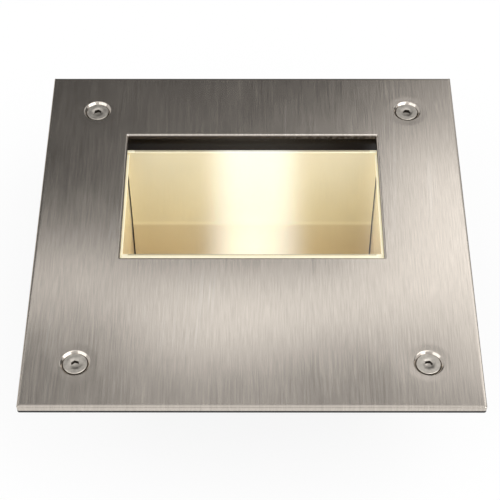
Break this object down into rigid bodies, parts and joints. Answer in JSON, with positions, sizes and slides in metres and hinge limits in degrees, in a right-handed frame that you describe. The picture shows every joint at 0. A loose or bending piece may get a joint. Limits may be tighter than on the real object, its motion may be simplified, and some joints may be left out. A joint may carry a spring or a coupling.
{
  "type": "recessed outdoor spotlight",
  "caption": "Square brushed steel recessed outdoor light: an offset window with a gold reflector, on a sealed box with a cable gland.",
  "frame": {"origin": "centre of the box around the light, at the level of the tub's base", "axes": "+Z out of the front plate's face, +Y towards the plate edge that the window is nearer to, +X to the right when that edge is at the top and the face is looked at"},
  "size_m": [0.15, 0.15, 0.06],
  "materials": {
    "brushed_plate": "stainless, brushed along Y",
    "screw_steel": "stainless, turned",
    "foam_rubber": "closed-cell foam, matt",
    "black_silicone": "satin silicone",
    "clear_glass": "toughened, clear, ground edges",
    "black_polyamide": "glass-filled, satin",
    "powder_coat": "fine-textured powder coat",
    "insert_brass": "turned, knurled",
    "gold_sheet": "gold anodised, satin",
    "zinc_steel": "zinc plated",
    "raw_aluminium": "milled",
    "pad_grey": "soft, matt",
    "board_white": "white solder mask on aluminium",
    "chip_ceramic": "ceramic",
    "phosphor": "lit phosphor",
    "lens_clear": "clear silicone lens",
    "holder_white": "heat-proof plastic",
    "driver_grey": "moulded",
    "driver_white": "moulded",
    "block_grey": "moulded",
    "lever_grey": "moulded",
    "green_zinc": "green passivated",
    "tinned_copper": "tinned",
    "lead_brown": "insulated lead",
    "lead_blue": "insulated lead",
    "lead_green": "insulated lead, green with yellow",
    "lead_red": "insulated lead",
    "lead_black": "insulated lead",
    "gland_polyamide": "moulded, satin"
  },
  "bodies": {
    "housing": {"housing": "powder_coat", "thread_inserts": "insert_brass", "reflector_slope": "gold_sheet", "reflector_tray": "gold_sheet", "reflector_cheek_left": "gold_sheet", "reflector_cheek_right": "gold_sheet", "reflector_screws": "zinc_steel", "reflector_rivets": "raw_aluminium", "heat_spreader": "raw_aluminium", "spreader_screws": "zinc_steel", "thermal_pad": "pad_grey", "led_board": "board_white", "led_chip": "chip_ceramic", "led_phosphor": "phosphor", "led_lens": "lens_clear", "led_holder": "holder_white", "holder_screws": "zinc_steel", "driver_case": "driver_grey", "driver_lid": "driver_white", "driver_screws": "zinc_steel", "terminal_block": "block_grey", "earth_screw": "green_zinc", "earth_ring": "tinned_copper", "lead_live": "lead_brown", "lead_neutral": "lead_blue", "lead_earth": "lead_green", "lead_led_plus": "lead_red", "lead_led_minus": "lead_black", "gland_body": "gland_polyamide", "gland_washer": "black_silicone", "gland_locknut": "gland_polyamide", "gland_seal": "black_silicone", "plug_washer": "black_silicone", "plug_locknut": "gland_polyamide"},
    "cover": {"front_plate": "brushed_plate", "plate_gasket": "foam_rubber", "frame_studs": "screw_steel", "glass_seal": "black_silicone", "glass_pane": "clear_glass", "glass_frame": "black_polyamide", "frame_nuts": "screw_steel"},
    "cover_screw_near_left": {"cover_screw_near_left": "screw_steel"},
    "cover_screw_near_right": {"cover_screw_near_right": "screw_steel"},
    "cover_screw_far_left": {"cover_screw_far_left": "screw_steel"},
    "cover_screw_far_right": {"cover_screw_far_right": "screw_steel"},
    "lever_live": {"terminal_lever_live": "lever_grey"},
    "lever_neutral": {"terminal_lever_neutral": "lever_grey"},
    "lever_earth": {"terminal_lever_earth": "lever_grey"},
    "gland_nut": {"gland_nut": "gland_polyamide"},
    "blanking_plug": {"blanking_plug": "gland_polyamide"}
  },
  "joints": [
    {"name": "cover_lift", "type": "slide", "parent": "housing", "child": "cover", "axis": [0, 0, 1], "range_m": [0, 0.08]},
    {"name": "cover_screw_near_left_turn", "type": "hinge", "parent": "cover", "child": "cover_screw_near_left", "pos_m": [-0.0575, -0.0575, 0.058], "axis": [0, 0, 1], "continuous": true},
    {"name": "cover_screw_near_right_turn", "type": "hinge", "parent": "cover", "child": "cover_screw_near_right", "pos_m": [0.0575, -0.0575, 0.058], "axis": [0, 0, 1], "continuous": true},
    {"name": "cover_screw_far_left_turn", "type": "hinge", "parent": "cover", "child": "cover_screw_far_left", "pos_m": [-0.0575, 0.0575, 0.058], "axis": [0, 0, 1], "continuous": true},
    {"name": "cover_screw_far_right_turn", "type": "hinge", "parent": "cover", "child": "cover_screw_far_right", "pos_m": [0.0575, 0.0575, 0.058], "axis": [0, 0, 1], "continuous": true},
    {"name": "lever_live_open", "type": "hinge", "parent": "housing", "child": "lever_live", "pos_m": [-0.0426, -0.0308, 0.0132], "axis": [1, 0, 0], "range_deg": [0, 85]},
    {"name": "lever_neutral_open", "type": "hinge", "parent": "housing", "child": "lever_neutral", "pos_m": [-0.0366, -0.0308, 0.0132], "axis": [1, 0, 0], "range_deg": [0, 85]},
    {"name": "lever_earth_open", "type": "hinge", "parent": "housing", "child": "lever_earth", "pos_m": [-0.0306, -0.0308, 0.0132], "axis": [1, 0, 0], "range_deg": [0, 85]},
    {"name": "gland_nut_turn", "type": "hinge", "parent": "housing", "child": "gland_nut", "pos_m": [-0.0665, -0.0213, 0.031], "axis": [-1, 0, 0], "continuous": true},
    {"name": "blanking_plug_turn", "type": "hinge", "parent": "housing", "child": "blanking_plug", "pos_m": [0.057, -0.0213, 0.031], "axis": [1, 0, 0], "continuous": true}
  ]
}
